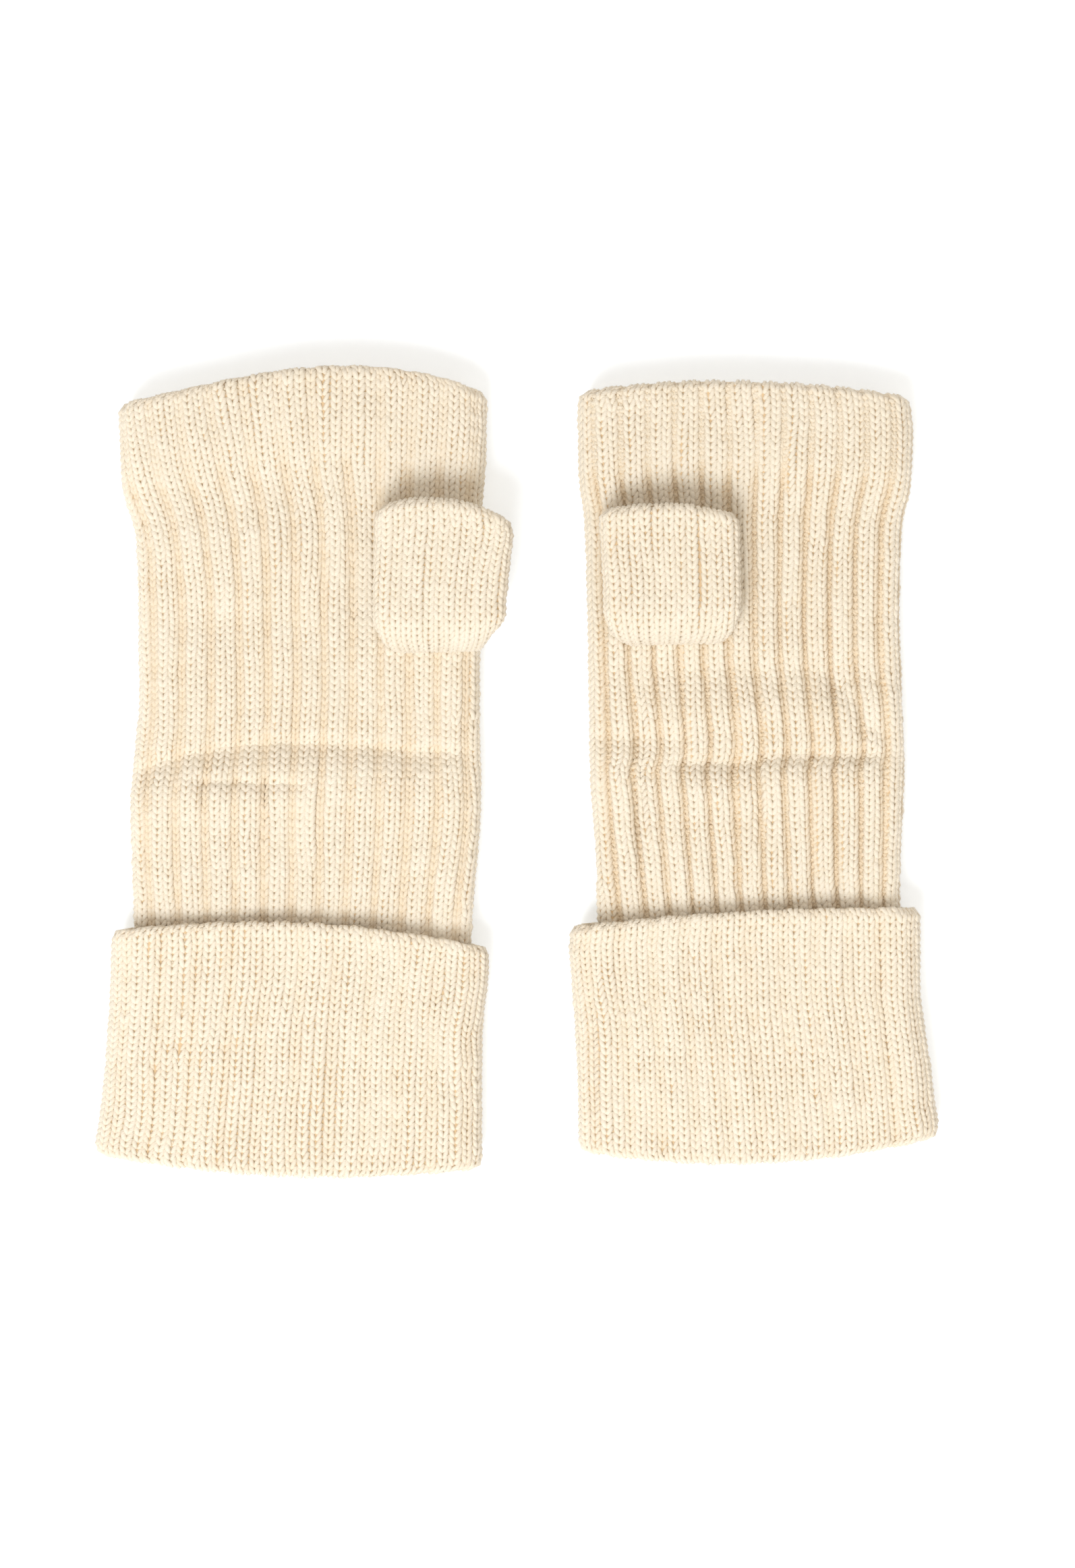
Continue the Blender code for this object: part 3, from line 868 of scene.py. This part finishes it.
def folding_thumb(side, surface, wales):
    """The thumb, its cast-off edge and its seam."""
    end = surface.length[-1]
    first, last = 1.2, end - 0.8
    count = courses_between(first, last) - TIP_COURSES
    edge = first + count * COURSE
    tube = knit(side + "_thumb_knit", surface, wales, first, count, STITCH, CREAM)
    tip = knit(side + "_thumb_edge_knit", surface, wales, edge, TIP_COURSES, STITCH, CREAM)
    seam = knit(side + "_thumb_seam_yarn", surface, wales, 0.9, 1, SEWING, CREAM)

    core_start, core_end = 0.1, end - 0.2
    inner = core(side + "_thumb_core", surface, wales, core_start, core_end, PAINTED_SHADE_CORE, around=120)
    slots = {tube: "thumb_knit", tip: "edge_knit", seam: "stitching", inner: "thumb_knit"}
    for piece, slot in slots.items():
        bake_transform(piece)
    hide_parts(side + "_thumb_tube", side + "_thumb_gusset")
    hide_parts(side + "_thumb_edge")
    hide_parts(side + "_thumb_seam")


def glove(side, hand_relief, hand_shift, cuff_relief, cuff_lines, hand_wales, cuff_wales, thumb_wales, seed):
    joint = next(j for j in frame["joints"] if j["name"] == side + "_thumb_fold")
    palm = np.array(joint["pos_m"])
    hinge = palm[1] / MM
    cuff = Tube([side + "_turned_cuff", side + "_cuff_edge"])
    hand = Tube([side + "_hand_sleeve", side + "_finger_hem"], (False, True))
    thumb = Tube([side + "_thumb_tube", side + "_thumb_edge"], (False, True))
    hole = Hole((palm[0] / MM, hinge - HOLE_BEHIND), HOLE_WIDTH, HOLE_LENGTH, HOLE_FLOOR)

    surface, fold_row = hand_surface(hand, hand_relief, hand_shift, cuff.last, seed)
    shell = hand_and_hem(side, surface, fold_row, hand_wales, hole)

    surface = cuff_surface(cuff, cuff_relief, seed + 1.3)
    places, amounts = zip(*cuff_lines)
    cuff_wales.open_up(surface.turns_at(places), amounts)
    turned_cuff(side, surface, cuff_wales)

    surface = thumb_surface(thumb, hand, hinge, seed + 2.9)
    folding_thumb(side, surface, thumb_wales)


STITCH = Stitch()
SEWING = Stitch(bulge=0.0, slant=0.2, spread=0.0, height=1.3, depth=0.2)

# Each pattern of wales: the widths and the sides of one rib's wales, and the rib's profile
STOCKING = ([1.0], [1.0], [(0.0, 0.0), (1.0, 0.0)])
FLAT_RIB = (
    [1.14, 1.02, 0.84],
    [1.0, 1.0, 1.0],
    [
        (0.0, 0.35), (0.15, 0.08), (0.3, 0.0), (1.4, 0.0), (1.6, 0.2),
        (2.0, 0.85), (2.5, 1.0), (2.8, 0.8), (3.0, 0.35),
    ],
)
DEEP_RIB = (
    [1.34, 1.10, 0.56],
    [1.0, 1.0, -1.0],
    [
        (0.0, 0.75), (0.12, 0.25), (0.25, 0.0), (1.4, 0.0), (1.55, 0.3),
        (2.0, 1.3), (2.5, 1.6), (2.8, 1.35), (3.0, 0.75),
    ],
)
CUFF_RIB = (
    [1.04, 1.02, 0.94],
    [1.0, 1.0, 1.0],
    [(0.0, 0.15), (0.2, 0.0), (1.6, 0.0), (1.9, 0.25), (2.5, 0.4), (2.85, 0.3), (3.0, 0.15)],
)

left_wales = Wales(25, *FLAT_RIB), Wales(23, *CUFF_RIB), Wales(26, *STOCKING)
glove("left", left_relief, left_shift, left_cuff_relief, LEFT_LINES, *left_wales, 0.4)
right_wales = Wales(26, *DEEP_RIB), Wales(23, *CUFF_RIB), Wales(26, *STOCKING)
glove("right", right_relief, right_shift, right_cuff_relief, RIGHT_LINES, *right_wales, 2.2)

# ---------------------------------------------------------------- stage, light and camera

VIEW_WIDTH = 292.5
VIEW_CENTRE = (5.6, -3.4)
CAMERA_HEIGHT = 1600.0
SENSOR_WIDTH = 36.0
FLOOR_SIZE = 6000.0
FLOOR_LEVEL = -0.4  # a little low, because the yarn stands out from the CAD solids


def stage():
    bpy.ops.mesh.primitive_plane_add(size=FLOOR_SIZE * MM, location=(0, 0, FLOOR_LEVEL * MM))
    floor = bpy.context.active_object
    floor.name = "floor"
    n = Nodes("white_ground")
    n.shader.inputs["Base Color"].default_value = (0.87, 0.925, 0.99, 1)
    n.shader.inputs["Roughness"].default_value = 0.9
    n.shader.inputs["Specular IOR Level"].default_value = 0.1
    n.shader.inputs["Emission Color"].default_value = (1.0, 1.0, 1.0, 1)
    n.shader.inputs["Emission Strength"].default_value = 0.27
    floor.data.materials.append(n.material)


def area_light(name, location, size, energy, colour):
    data = bpy.data.lights.new(name, "AREA")
    data.size = size
    data.energy = energy
    data.color = colour
    light = bpy.data.objects.new(name, data)
    light.location = location
    light.rotation_euler = Vector(location).to_track_quat("Z", "Y").to_euler()
    bpy.context.scene.collection.objects.link(light)


def camera():
    data = bpy.data.cameras.new("camera")
    data.sensor_fit = "HORIZONTAL"
    data.sensor_width = SENSOR_WIDTH
    data.lens = SENSOR_WIDTH * CAMERA_HEIGHT / VIEW_WIDTH
    data.clip_start = 0.05
    data.clip_end = 20.0
    result = bpy.data.objects.new("camera", data)
    result.location = (VIEW_CENTRE[0] * MM, VIEW_CENTRE[1] * MM, CAMERA_HEIGHT * MM)
    bpy.context.scene.collection.objects.link(result)
    bpy.context.scene.camera = result


def world():
    background = bpy.data.worlds.new("studio")
    background.use_nodes = True
    shade = background.node_tree.nodes["Background"]
    shade.inputs["Color"].default_value = (1.0, 0.91, 0.80, 1)
    shade.inputs["Strength"].default_value = 0.71
    bpy.context.scene.world = background


stage()
world()
area_light("key", (-0.45, -1.0, 1.5), 0.9, 26.0, (0.925, 0.965, 1.0))
area_light("overhead", (0.2, 0.2, 2.4), 1.6, 7.0, (0.94, 0.97, 1.0))
camera()
bpy.context.scene.view_settings.view_transform = "Standard"
